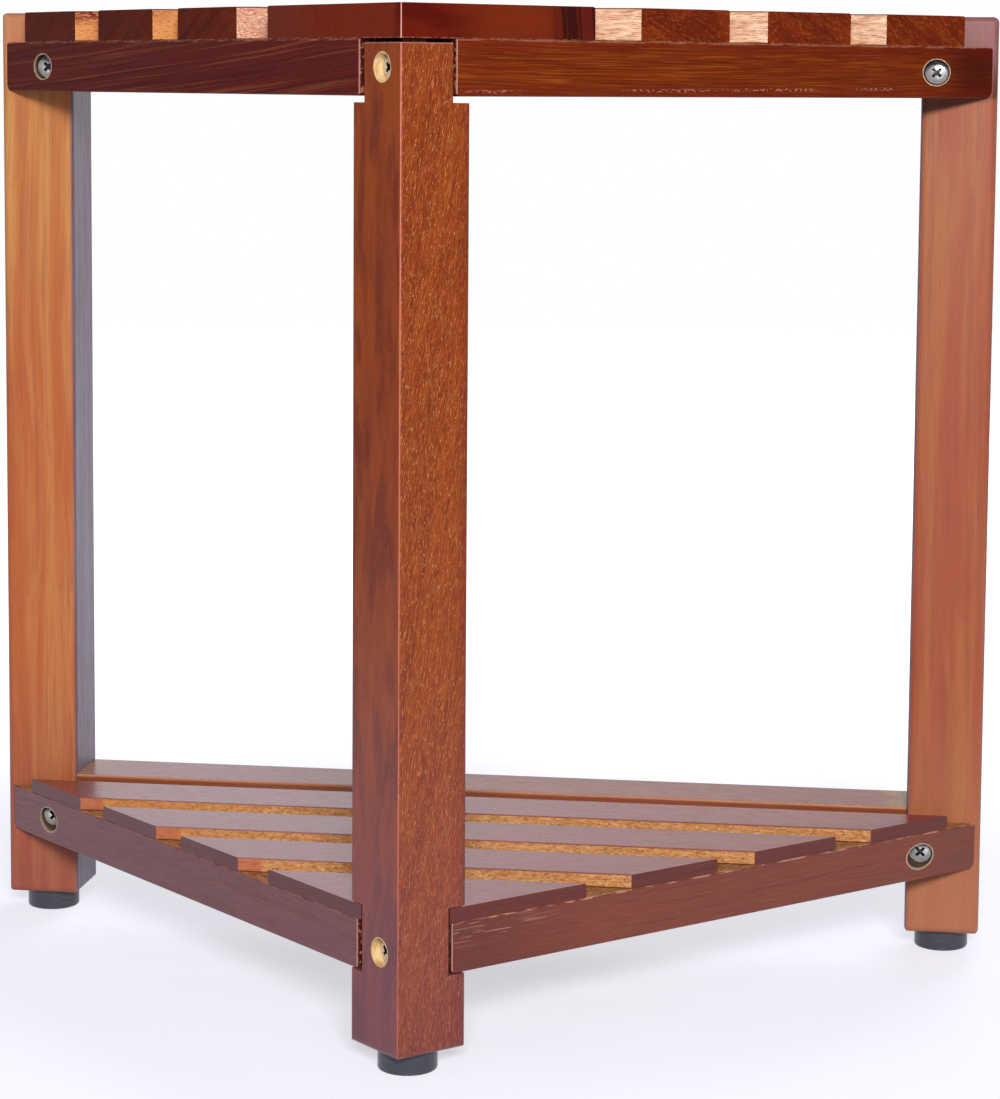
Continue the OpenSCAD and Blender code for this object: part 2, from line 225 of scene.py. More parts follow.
def figured(space, base, layers):
    """Lays strands of other shades over a base shade, in their order.

    A layer is (size in mm, where its mask starts and ends, shade, share). A share may be a mask.
    """
    for seed, (size, start, end, shade, share) in enumerate(layers, 1):
        base = over(base, strands(space, size, start, end, seed), shade, share)
    return base


def bore_mask(across, height, centre, level, spread, reach):
    """1 within reach of two level screw axes, spread above and below a level."""
    tree = across.id_data
    side = add(tree, "Math", [across, centre], operation="SUBTRACT")
    up = add(tree, "Math", [height, level], operation="SUBTRACT")
    up = add(tree, "Math", [up], operation="ABSOLUTE")
    up = add(tree, "Math", [up, spread], operation="SUBTRACT")
    away = add(tree, "CombineXYZ", {"X": side, "Y": up})
    away = add(tree, "VectorMath", [away], operation="LENGTH").outputs["Value"]
    # Its rim is frayed by up to 0.6 mm, in cells of about 1.1 mm
    frayed = add(tree, "TexNoise", {"Vector": add(tree, "CombineXYZ", {"X": across, "Y": height}),
                                    "Scale": 900.0, "Detail": 2.0})
    frayed = add(tree, "MapRange", {"Value": frayed.outputs["Fac"], "To Min": -0.6 * MM, "To Max": 0.0})
    away = add(tree, "Math", [away, frayed], operation="ADD")
    return rise(away, reach + 0.30 * MM, reach + 0.02 * MM)


def broken(mask, space, seed):
    """Breaks a worn line up into dashes and specks."""
    gaps = strands(space, (9.0, 1.4, 1.4), 0.44, 0.56, seed, 3.0)
    return add(mask.id_data, "Math", [mask, gaps], operation="MULTIPLY")


def varnish(material, tone, space, bare=None, gloss=0.42, level=0.5, relief=0.05, torn_by=3.0):
    """Closes a wood finish: satin over the stained wood, dull and open where the wood is bare."""
    tree = material.node_tree
    pores = strands(space, PORE, 0.35, 0.75, 11, 3.0)
    rough = add(tree, "MapRange", {"Value": pores, "To Min": gloss - 0.05, "To Max": gloss + 0.09})
    height = pores
    if bare is not None:
        rough = add(tree, "Mix", {"Factor": bare, "A": rough, "B": BARE_ROUGH}, data_type="FLOAT")
        torn = strands(space, TORN, 0.3, 0.7, 12, 3.0)
        torn = add(tree, "Math", [torn, torn_by], operation="MULTIPLY")
        height = add(tree, "Mix", {"Factor": bare, "A": pores, "B": torn}, data_type="FLOAT")
    bump = add(tree, "Bump", {"Height": height, "Distance": relief * MM, "Strength": 1.0})
    shader = add(tree, "BsdfPrincipled", {"Base Color": tone, "Roughness": rough, "Normal": bump,
                                          "IOR": 1.5, "Specular IOR Level": level})
    add(tree, "OutputMaterial", {"Surface": shader})
    return material


def start_wood(name, *grain):
    """A new wood material: its grain, place and facing in X, Y and Z, and how far X is from 0."""
    material, tree = new_tree(name)
    place = add(tree, "TexCoord").outputs
    at = add(tree, "SeparateXYZ", {"Vector": place["Object"]}).outputs
    facing = add(tree, "SeparateXYZ", {"Vector": place["Normal"]}).outputs
    width = add(tree, "Math", [at["X"]], operation="ABSOLUTE")
    return material, tree, millimetres(tree, *grain), at, facing, width


def speckled(space, golden):
    """Bare sawn wood: golden, with torn fibres and dark red specks of stain that ran in."""
    return figured(space, golden, [
        ((9, 1.6, 1.6), 0.42, 0.62, "#d8a468", 0.6),
        ((2.6, 0.8, 0.8), 0.5, 0.6, "#8a5026", 0.55),
        ((1.6, 0.7, 0.7), 0.58, 0.66, "#f0d09c", 0.45),
        ((1.6, 0.7, 0.7), 0.61, 0.67, "#4a2312", 0.65),
    ])


def long_sides(facing):
    """1 on a slat's long sides, which face along Y either way."""
    side = add(facing["Y"].id_data, "Math", [facing["Y"]], operation="ABSOLUTE")
    return rise(side, 0.78, 0.95)


def sheen_across(at, left):
    """The shelf's specular level: worn duller towards the right."""
    return add(at["X"].id_data, "MapRange", {"Value": at["X"], "From Min": -0.2, "From Max": 0.2,
                                             "To Min": left, "To Max": 0.25})


def arris_wear(at, width, worn):
    """1 on the rounded upright edge at the stool's corner, in a line of the worn width."""
    on_arris = rise(width, worn / 2 + 0.25 * MM, worn / 2)
    front = rise(at["Y"], POST_LOW[1] + 2 * MM, POST_LOW[1] + 1 * MM)
    return add(front.id_data, "Math", [on_arris, front], operation="MULTIPLY")


# Settings


def colour(name, description, code):
    """A colour property, with its default from a hex value."""
    return FloatVectorProperty(name=name, description=description, default=linear(code),
                               subtype="COLOR", size=3, min=0, max=1)


def power(name, description, watts):
    """A lamp's power property."""
    return FloatProperty(name=name, description=description, default=watts, min=0.0, subtype="POWER",
                         unit="POWER")


class StoolColours(bpy.types.PropertyGroup):
    """Main shades of the stool's finishes."""
    post: colour("Corner post", "Stain of the corner post", "#8c3c16")
    left_leg: colour("Left leg", "Stain of the left side leg", "#bd743c")
    right_leg: colour("Right leg", "Stain of the right side leg", "#a25438")
    upper_left_rail: colour("Upper left rail", "Stain of the upper left rail", "#5c1e1a")
    upper_right_rail: colour("Upper right rail", "Stain of the upper right rail", "#742a0a")
    lower_left_rail: colour("Lower left rail", "Stain of the lower left rail", "#744046")
    lower_right_rail: colour("Lower right rail", "Stain of the lower right rail", "#7a3a28")
    seat: colour("Seat", "Stain of the seat's slats", "#74260e")
    shelf: colour("Shelf", "Stain of the shelf's slats", "#943032")
    bare: colour("Bare wood", "Sawn wood under the stain", "#c28652")
    rubber: colour("Feet", "Rubber of the feet", "#373a45")
    chrome: colour("Face screws", "Plating of the screws that show", "#d8dade")


class StoolStudio(bpy.types.PropertyGroup):
    """Sizes of the wear, the lamps and the camera."""
    worn_width: FloatProperty(name="Worn edge", description="Width of the pale line on the worn corner",
                              default=0.2 * MM, min=0.0, subtype="DISTANCE", unit="LENGTH")
    key_power: power("Key lamp", "Power of the large lamp on the right", 66.0)
    fill_power: power("Fill lamp", "Power of the lamp on the left", 4.5)
    rear_power: power("Rear lamp", "Power of the lamp behind the stool", 28.0)
    room_level: FloatProperty(name="Room light", description="Strength of the even light all round",
                              default=0.14, min=0.0)
    dim_level: FloatProperty(name="Dim room", description="Strength of the room's sides in reflections",
                             default=0.06, min=0.0)
    lens: FloatProperty(name="Lens", description="Focal length on a 36 mm frame",
                        default=102.0, min=1.0, unit="CAMERA")
    lens_shift: FloatProperty(name="Lens shift", description="Upward shift, in frame sizes",
                              default=-0.13)


# Pieces


class STOOL_OT_corner_post(bpy.types.Operator):
    """Finish the corner post"""
    bl_idname = "stool.corner_post"
    bl_label = "Corner post"

    def execute(self, context):
        colours = context.scene.stool_colours
        studio = context.scene.stool_studio
        # Planed mahogany under satin varnish: rich orange brown with fine slanting flecks on the
        # right-hand face, smoother and redder on the left, bare where it was drilled
        material, tree, space, at, facing, width = start_wood(
            "planed_mahogany_corner_post", UPRIGHT, 0.3, 1, 1.5, (0.0, -0.14, -0.14))
        left = rise(facing["X"], 0.35, -0.35)
        tone = figured(space, colours.post, [
            ((300, 12, 12), 0.4, 0.62, "#9a4614", 0.7),
            ((160, 5, 5), 0.48, 0.68, "#7c2c10", 0.5),
        ])
        flecked = figured(space, tone, [
            ((7, 0.5, 0.5), 0.48, 0.62, "#642004", 0.6),
            ((5.5, 0.42, 0.42), 0.53, 0.62, "#c0702e", 0.5),
            ((2.2, 0.40, 0.40), 0.63, 0.69, "#ecb07a", 0.6),
        ])
        smooth = figured(space, tone, [
            ((200, 9, 9), 0.46, 0.62, "#581a18", 0.5),
            ((30, 1, 1), 0.5, 0.72, "#9a4828", 0.4),
            ((2, 0.6, 0.6), 0.66, 0.73, "#b47860", 0.4),
        ])
        tone = over(flecked, left, smooth)
        # Redder and darker along its right-hand edge, and a painted grey cast of the floor's light low
        # down, stronger on the left-hand face
        far = rise(at["X"], COS_45 * 27 * MM, COS_45 * 36 * MM)
        tone = over(tone, far, "#701c0a", 0.45)
        painted_grey = add(tree, "MapRange", {"Value": left, "To Min": 0.22, "To Max": 0.48})
        tone = over(tone, rise(at["Z"], 0.20, 0.0), "#6e4a66", painted_grey)
        # Worn pale along its upper edge and down its corner, less so towards the floor
        top_line = near(at["Z"], POST_HIGH[2] - 0.2 * MM, 0.15 * MM, 0.25 * MM)
        tone = over(tone, top_line, "#c98478", 0.7)
        strength = add(tree, "MapRange", {"Value": at["Z"], "From Min": 0.0, "From Max": POST_HIGH[2],
                                          "To Min": 0.35, "To Max": 0.80})
        tone = over(tone, arris_wear(at, width, studio.worn_width), "#d4806c", strength)
        # The screws run across the post, at right angles to its left-hand face
        across = add(tree, "Math", [at["Y"], at["X"]], operation="SUBTRACT")
        across = add(tree, "Math", [across, COS_45], operation="MULTIPLY")
        centre = COS_45 * (POST_SCREWS_LOW[1] + POST_SCREWS_HIGH[1]
                         - POST_SCREWS_LOW[0] - POST_SCREWS_HIGH[0]) / 2
        level = (POST_SCREWS_LOW[2] + POST_SCREWS_HIGH[2]) / 2
        spread = (POST_SCREWS_HIGH[2] - POST_SCREWS_LOW[2] - HEAD_D) / 2
        bare = bore_mask(across, at["Z"], centre, level, spread, BORE_D / 2)
        tone = over(tone, bare, figured(space, "#e8ca98", [
            ((9, 2.5, 2.5), 0.4, 0.64, "#c89c58", 0.7)]))
        give(varnish(material, tone, space, bare, gloss=0.40, level=0.35, torn_by=0.3), "corner_leg")
        return {"FINISHED"}


def leg_finish(node, stain, light, dark, middle_tint, low, upper, inward, seed, painted_rail_shadow=0.0):
    """Lightly stained leg: upright grain, paler rims, painted shadow under the rail, painted grey
    reflection on the side to the shelf.
    """
    material, tree, space, at, facing, width = start_wood(
        "planed_mahogany_" + node, UPRIGHT, 0.6, seed, 1.5)
    tone = figured(space, stain, [
        ((240, 9, 9), 0.4, 0.62, light, 0.7),
        ((160, 3, 3), 0.5, 0.68, dark, 0.4),
        ((30, 0.8, 0.8), 0.48, 0.72, dark, 0.35),
        ((2.6, 0.6, 0.6), 0.7, 0.76, "#5c2c18", 0.5),
    ])
    tint = over(middle_tint, rise(at["Z"], 0.26, 0.42), WHITE)
    tone = add(tree, "Mix", {"Factor": 1.0, "A": tone, "B": tint}, data_type="RGBA",
               blend_type="MULTIPLY")
    tone = over(tone, rise(at["Z"], 0.15, 0.01), low, 0.5)
    # Long edges, where the stain is thinner, and the sawn top
    middle = (LEG_LOW[0] + LEG_HIGH[0]) / 2
    rim = near(width, middle, (LEG_HIGH[0] - LEG_LOW[0]) / 2, -2.5 * MM)
    tone = over(tone, rim, "#c08478", 0.30)
    top = rise(at["Z"], LEG_HIGH[2] - 1.4 * MM, LEG_HIGH[2] - 0.4 * MM)
    tone = over(tone, top, "#9c7c8c", 0.4)
    # Painted shadow: darkened close under the upper rail, in a wedge that ends at the leg's outer side
    wedge = add(tree, "MapRange", {
        "Value": width, "From Min": LEG_LOW[0], "From Max": LEG_HIGH[0],
        "To Min": RAIL_LOW[2] - 8 * MM, "To Max": RAIL_LOW[2]})
    below = add(tree, "Math", [at["Z"], wedge], operation="SUBTRACT")
    tone = over(tone, rise(below, -1.5 * MM, 1.5 * MM), "#2c100c", painted_rail_shadow)
    # Greyer where the seat's ends shade it
    shaded = rise(at["Z"], SEAT_LOW[2] - 22 * MM, SEAT_LOW[2])
    tone = over(tone, shaded, upper, 0.5)
    # Painted reflection: streaked grey on the inner side that faces the shelf
    inner = rise(facing["X"], 0.55 * inward, 0.9 * inward)
    painted_grey = figured(space, "#705a6a", [
        ((180, 3, 3), 0.42, 0.6, "#82728a", 0.8),
        ((60, 1.2, 1.2), 0.5, 0.7, "#503a44", 0.6),
    ])
    tone = over(tone, inner, painted_grey)
    level = add(tree, "MapRange", {"Value": inner, "To Min": 0.30, "To Max": 0.75})
    give(varnish(material, tone, space, gloss=0.45, level=level), node)


class STOOL_OT_side_legs(bpy.types.Operator):
    """Finish the two side legs"""
    bl_idname = "stool.side_legs"
    bl_label = "Side legs"

    def execute(self, context):
        colours = context.scene.stool_colours
        # Planed mahogany, lightly stained: orange tan with fine upright grain and dark pores,
        # redder towards the floor, with a painted grey reflection on the sides that face the shelf
        leg_finish("left_leg", colours.left_leg, "#cf9a58", "#a4593a", middle_tint="#f4d8d8",
                   low="#7c3a48", upper="#c08468", inward=1.0, seed=3)
        leg_finish("right_leg", colours.right_leg, "#ac6c44", "#8c4a38", middle_tint="#fcf0e2",
                   low="#be8460", upper="#a8747a", inward=-1.0, seed=4, painted_rail_shadow=0.6)
        return {"FINISHED"}


def rail_finish(node, stain, turn, layers, seed, bow, tilt=0.0, wave=0.35, level=0.45, sawn="#c58b42",
                worn=0.35, scratched=0.0, line=None, tip_shade=None, edge_shade=None, dark_end=None):
    """Stained rail: figure along its length, cut end, bare bore and top, broken worn lines."""
    low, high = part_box(node)
    mid_height = (low[2] + high[2]) / 2
    material, tree, space, at, facing, width = start_wood(
        "planed_mahogany_" + node, turn, wave, seed, bow, (0.0, tilt, 0.0))
    tone = figured(space, stain, layers)
    if tip_shade:
        tone = over(tone, rise(width, *RAIL_TIP), tip_shade, 0.75)
    if edge_shade:
        tone = over(tone, near(at["Z"], mid_height, 11 * MM, -7 * MM), edge_shade, 0.5)
    # How far a point lies from the arris along the rail, and behind the rail's outer face
    back = add(tree, "Math", [at["Y"], ARRIS_Y], operation="SUBTRACT")
    along = add(tree, "Math", [back, width], operation="ADD")
    along = add(tree, "Math", [along, COS_45], operation="MULTIPLY")
    depth = add(tree, "Math", [back, width], operation="SUBTRACT")
    depth = add(tree, "Math", [depth, COS_45], operation="MULTIPLY")
    start = (low[1] - ARRIS_Y) / COS_45
    # Cut end beside the post: dark, with golden torn specks
    on_end = rise(along, start + 0.25 * MM, start + 0.12 * MM)
    tone = over(tone, on_end, figured(space, "#4c1a10", [
        ((1.8, 1.8, 1.8), 0.53, 0.6, "#b87c66", 0.75)]))
    # Bare, sawn top, seen between the slats, and the screw's hole
    top = rise(facing["Z"], 0.5, 0.95)
    screw_x = LEG_SCREWS_HIGH[0] - HEAD_D / 2
    bore = bore_mask(width, at["Z"], screw_x, mid_height, 0.0, BORE_D / 2)
    bare = add(tree, "Math", [top, bore], operation="MAXIMUM")
    tone = over(tone, top, speckled(space, sawn))
    hole = figured(space, "#cdb294", [((2.0, 0.8, 0.8), 0.55, 0.65, "#94704c", 0.6)])
    # Painted shade: the hole's wall darkens with depth
    hole = over(hole, rise(depth, 1.0 * MM, 3.0 * MM), "#4a2e1c", 0.9)
    tone = over(tone, bore, hole)
    if dark_end:
        tone = over(tone, rise(along, start + 90 * MM, start + 5 * MM), dark_end, 0.6)
    # The finish has rubbed through along the upper edge, and on the outer edge of the cut end
    marks = near(at["Z"], high[2] - 0.45 * MM, 0.15 * MM, 0.35 * MM)
    marks = add(tree, "Math", [broken(marks, space, seed), worn], operation="MULTIPLY")
    outer = rise(depth, 0.7 * MM, 0.4 * MM)
    corner = near(along, start + 0.2 * MM, 0.15 * MM, 0.2 * MM)
    corner = add(tree, "Math", [corner, outer], operation="MULTIPLY")
    marks = add(tree, "Math", [marks, corner], operation="MAXIMUM")
    if line:
        # It climbs along the rail, between two heights above its lower edge
        climb = add(tree, "MapRange", {"Value": width, "To Min": low[2] + line[0] * MM,
                                       "From Max": high[0], "To Max": low[2] + line[1] * MM})
        low_line = near(at["Z"], climb, 0.2 * MM, 0.8 * MM)
        # Specks of it, in stretches of about 45 mm
        for part in (strands(space, (1.5, 0.6, 0.6), 0.54, 0.62, seed + 5, 0.0),
                     strands(space, (45, 20, 20), 0.46, 0.60, seed + 5, 0.0), 0.7):
            low_line = add(tree, "Math", [low_line, part], operation="MULTIPLY")
        marks = add(tree, "Math", [marks, low_line], operation="MAXIMUM")
    if scratched:
        # Scratches beside the post, on the upper half of the rail
        cuts = rise(along, start + scratched, start + 0.3 * scratched)
        for part in (rise(at["Z"], mid_height - 2 * MM, high[2] - 6 * MM),
                     strands(space, (22, 0.5, 0.5), 0.64, 0.70, 8, 0.0), 0.6):
            cuts = add(tree, "Math", [cuts, part], operation="MULTIPLY")
        marks = add(tree, "Math", [marks, cuts], operation="MAXIMUM")
    tone = over(tone, marks, "#d69a8a", 0.75)
    give(varnish(material, tone, space, bare, gloss=0.38, level=level), node)


class STOOL_OT_rails(bpy.types.Operator):
    """Finish the four rails"""
    bl_idname = "stool.rails"
    bl_label = "Rails"

    def execute(self, context):
        colours = context.scene.stool_colours
        # Planed mahogany under dark stain: long slow streaks of red brown on maroon
        rail_finish("upper_left_rail", colours.upper_left_rail, LEFT_RAIL, [
            ((170, 7, 7), 0.46, 0.62, "#5c1c18", 0.8),
            ((140, 9, 0.9), 0.54, 0.66, "#88462e", 0.6),
            ((200, 9, 1.6), 0.5, 0.66, "#3c1014", 0.5),
            ((2, 0.5, 0.5), 0.62, 0.7, "#7a3a2c", 0.3),
        ], 5, bow=2.0, tilt=-0.08, sawn="#b0703c", level=0.15, wave=0.1)
        # Planed mahogany under brown stain: fine wavy lines along the rail, darker at its tip
        rail_finish("upper_right_rail", colours.upper_right_rail, RIGHT_RAIL, [
            ((150, 6, 6), 0.42, 0.62, "#84340c", 0.6),
            ((48, 5, 0.45), 0.46, 0.6, "#521804", 0.62),
            ((30, 5, 0.45), 0.53, 0.64, "#a2561e", 0.5),
        ], 6, bow=1.2, tip_shade="#3c0e0a", edge_shade="#66180a", line=(1.6, 4.6), level=0.15)
        # Planed mahogany under greyed stain: purple brown with faint red streaks
        rail_finish("lower_left_rail", colours.lower_left_rail, LEFT_RAIL, [
            ((170, 6, 6), 0.46, 0.64, "#6c3432", 0.6),
            ((220, 1.6, 1.6), 0.58, 0.68, "#8a4c3c", 0.35),
            ((40, 0.6, 0.6), 0.52, 0.7, "#4c262e", 0.35),
        ], 7, bow=2.0, sawn="#a8683a")
        # Planed mahogany under red stain: warm red brown with darker strands
        rail_finish("lower_right_rail", colours.lower_right_rail, RIGHT_RAIL, [
            ((160, 6, 6), 0.42, 0.62, "#823c26", 0.6),
            ((80, 1.2, 1.2), 0.52, 0.66, "#5c241e", 0.4),
            ((14, 0.5, 0.5), 0.54, 0.68, "#985238", 0.35),
        ], 8, bow=1.5, tip_shade="#74382a", scratched=0.07, dark_end="#56201f", sawn="#a0683a",
            worn=1.0)
        return {"FINISHED"}


def seat_ends(tree, at, width, stain):
    """The seat's cut ends: rings that climb towards the corner, quiet on the corner piece."""
    left = rise(at["X"], -0.002, -0.004)
    right = rise(at["X"], -0.004, -0.002)
    along = add(tree, "Math", [width, math.sqrt(2)], operation="MULTIPLY")
    face = add(tree, "CombineXYZ", {"X": along, "Y": left, "Z": at["Z"]})
    # In millimetres, with each side of the corner 90 mm from the other's stretch of the pattern,
    # and bent by a few millimetres in waves of about 33 mm
    rings = add(tree, "Mapping", {"Vector": face, "Scale": (1 / MM, 90.0, 1 / MM)})
    warp = add(tree, "TexNoise", {"Vector": rings, "Scale": 0.03, "Detail": 0.0})
    warp = add(tree, "VectorMath", [warp.outputs["Color"], (10.0, 0.0, 10.0)], operation="MULTIPLY")
    rings = add(tree, "VectorMath", [rings, warp], operation="ADD")
    slanted = add(tree, "Mapping", {"Vector": rings, "Rotation": (0.0, math.radians(-30), 0.0)})
    loud = rise(at["Y"], SEAT_HIGH[1] + 2 * MM, SEAT_HIGH[1] + 4 * MM)
    quiet = add(tree, "MapRange", {"Value": left, "To Min": 0.45, "To Max": 0.15})
    share = add(tree, "Math", [loud, quiet], operation="MULTIPLY")
    slats = figured(slanted, stain, [
        ((60, 4, 4), 0.44, 0.6, "#561608", 0.6),
        ((24, 4, 0.8), 0.5, 0.64, "#8c3c10", 0.35),
        ((2.4, 4, 0.45), 0.55, 0.66, "#b46426", share),
        ((20, 4, 6), 0.5, 0.64, "#5c1a08", 0.55),
    ])
    # The corner piece: lit up beside the corner, with a dark streaked knot on the right
    start = over("#581006", left, "#762410")
    corner = figured(rings, start, [
        ((30, 4, 9), 0.42, 0.62, "#74200c", 0.5),
        ((1.2, 4, 14), 0.5, 0.7, "#541008", 0.25),
    ])
    corner = over(corner, near(along, 0.060, 0.008, 0.034), "#7c2e10", right, 0.7)
    corner = over(corner, rise(along, 0.060, 0.095), "#6a3020", left, 0.6)
    knot = rise(along, 0.077, 0.083)
    knot = add(tree, "Math", [knot, right], operation="MULTIPLY")
    corner = over(corner, knot, "#5c1c12", 0.85)
    streaks = strands(rings, (1.3, 4.0, 60.0), 0.52, 0.60, 5, 0.0)
    corner = over(corner, streaks, "#1c0606", knot, 0.7)
    ends = over(corner, loud, slats)
    tinted = add(tree, "Mix", {"Factor": 1.0, "A": ends, "B": opaque("#d0bcd8")}, data_type="RGBA",
                 blend_type="MULTIPLY")
    return over(ends, rise(at["X"], -0.05, -0.13), tinted)


def seat_sides(space, at):
    """Bare sawn sides: brown fibres on the right, frayed left of the corner, red at the far left."""
    peach = figured(space, "#dcac8c", [
        ((14, 1.2, 1.6), 0.44, 0.6, "#f0ceb0", 0.8),
        ((7, 0.5, 0.5), 0.53, 0.6, "#a06a46", 0.75),
        ((3, 0.6, 0.6), 0.6, 0.66, "#fae6d2", 0.6),
    ])
    tan = figured(space, "#dc9258", [
        ((10, 1, 1), 0.46, 0.6, "#dc9c60", 0.7),
        ((2.4, 0.5, 0.5), 0.56, 0.64, "#945028", 0.6),
    ])
    frayed = figured(space, "#d69e80", [
        ((1.6, 0.5, 0.5), 0.52, 0.58, "#9a4a40", 0.6),
        ((1.4, 0.5, 0.5), 0.56, 0.62, "#f2d2c0", 0.8),
    ])
    above = rise(at["Z"], SEAT_LOW[2] + 6 * MM, SEAT_HIGH[2] - 1 * MM)
    stained = figured(space, tan, [((3, 0.9, 0.9), 0.38, 0.52, "#7c2428", above)])
    raw = over(tan, rise(at["Y"], -0.02, -0.03), frayed)
    raw = over(raw, rise(at["X"], -0.12, -0.16), stained)
    return over(peach, rise(at["X"], 0.05, -0.05), raw)


class STOOL_OT_seat(bpy.types.Operator):
    """Finish the seat's slats and back board"""
    bl_idname = "stool.seat"
    bl_label = "Seat"

    def execute(self, context):
        colours = context.scene.stool_colours
        studio = context.scene.stool_studio
        # Mahogany under dark red stain: slanted growth rings on the cut ends, and bare sawn
        # wood on the long sides, peach on the right and darker and more stained on the left
        material, tree, space, at, facing, width = start_wood("sawn_mahogany_seat", ACROSS, 0.8, 2)
        tone = figured(space, colours.seat, [
            ((150, 5, 9), 0.42, 0.6, "#7c331c", 0.7),
            ((90, 1.6, 4), 0.52, 0.66, "#4c1a14", 0.55),
        ])
        slatted = rise(at["Y"], SEAT_BOARD_LOW[1] - 2 * MM, SEAT_BOARD_LOW[1] - 3 * MM)
        on_board = rise(at["Y"], SEAT_BOARD_LOW[1] - 3 * MM, SEAT_BOARD_LOW[1] - 2 * MM)
        ends = seat_ends(tree, at, width, colours.seat)
        flat = add(tree, "Math", [facing["Z"]], operation="ABSOLUTE")
        flat = add(tree, "Math", [rise(flat, 0.6, 0.8), on_board], operation="MAXIMUM")
        tone = over(ends, flat, tone)
        # Painted shade: the underside and the back board's inner face are painted near black
        shaded_underside = rise(facing["Z"], -0.6, -0.8)
        board = add(tree, "Math", [on_board, rise(facing["Y"], -0.6, -0.8)], operation="MULTIPLY")
        shaded_underside = add(tree, "Math", [shaded_underside, board], operation="MAXIMUM")
        tone = over(tone, shaded_underside, "#220c08", 0.85)
        lower_edge = near(at["Z"], SEAT_LOW[2] + 0.15 * MM, 0.15 * MM, 0.25 * MM)
        tone = over(tone, broken(lower_edge, space, 3), "#c98a70", slatted, 0.35)
        # The slats' long sides are bare, but not the back board's, nor the rounded corner
        side = long_sides(facing)
        off_arris = rise(at["Y"], POST_LOW[1] + 1 * MM, POST_LOW[1] + 2 * MM)
        for part in (slatted, off_arris):
            side = add(tree, "Math", [side, part], operation="MULTIPLY")
        tone = over(tone, side, seat_sides(space, at))
        tone = over(tone, arris_wear(at, width, studio.worn_width), "#dca094", 0.9)
        matt = add(tree, "Math", [side, shaded_underside], operation="MAXIMUM")
        level = add(tree, "MapRange", {"Value": shaded_underside, "To Min": 0.15, "To Max": 0.0})
        give(varnish(material, tone, space, matt, gloss=0.36, level=level), "seat_slat_rear",
             "seat_slat_middle", "seat_slat_front", "seat_corner_piece", "seat_back_board")
        return {"FINISHED"}


def shelf_board():
    """Finishes the shelf's back board."""
    # Mahogany under thin brown stain, which missed the ends beside the legs
    material, tree, space, at, facing, width = start_wood(
        "sawn_mahogany_shelf_board", ACROSS, 0.5, 10, 1.5)
    tone = figured(space, "#8a382a", [
        ((190, 7, 12), 0.42, 0.62, "#984630", 0.6),
        ((120, 2.2, 6), 0.52, 0.68, "#602826", 0.4),
    ])
    # Painted reflection: greyer to the left, like the shelf's tops
    tone = over(tone, rise(at["X"], -0.02, -0.16), PAINTED_REFLECTION_GREY, 0.60)
    # Golden ends, whose edge wanders by up to 12 mm
    blotch = strands(space, (16.0, 9.0, 9.0), 0.3, 0.7, 4)
    blotch = add(tree, "Math", [blotch, 12 * MM], operation="MULTIPLY")
    missed = add(tree, "Math", [width, blotch], operation="ADD")
    golden = figured(space, "#a87838", [((60, 2, 2), 0.4, 0.65, "#ba8a4c", 0.7)])
    tone = over(tone, rise(missed, 0.200, 0.216), golden, 0.8)
    # The front, pale on its worn rim, with a painted shadow close under the rim
    tone = over(tone, rise(facing["Y"], -0.2, -0.4), "#d8987c", 0.90)
    front = figured(space, "#a4643e", [((60, 1.2, 1.2), 0.45, 0.62, "#b07048", 0.7)])
    below = rise(at["Z"], SHELF_BOARD_HIGH[2] - 0.7 * MM, SHELF_BOARD_HIGH[2] - 1.8 * MM)
    front = over(front, below, "#7a3a24", 0.85)
    tone = over(tone, rise(facing["Y"], -0.7, -0.95), front)
    give(varnish(material, tone, space, gloss=0.30, level=sheen_across(at, 0.90), relief=0.006),
         "shelf_back_board")


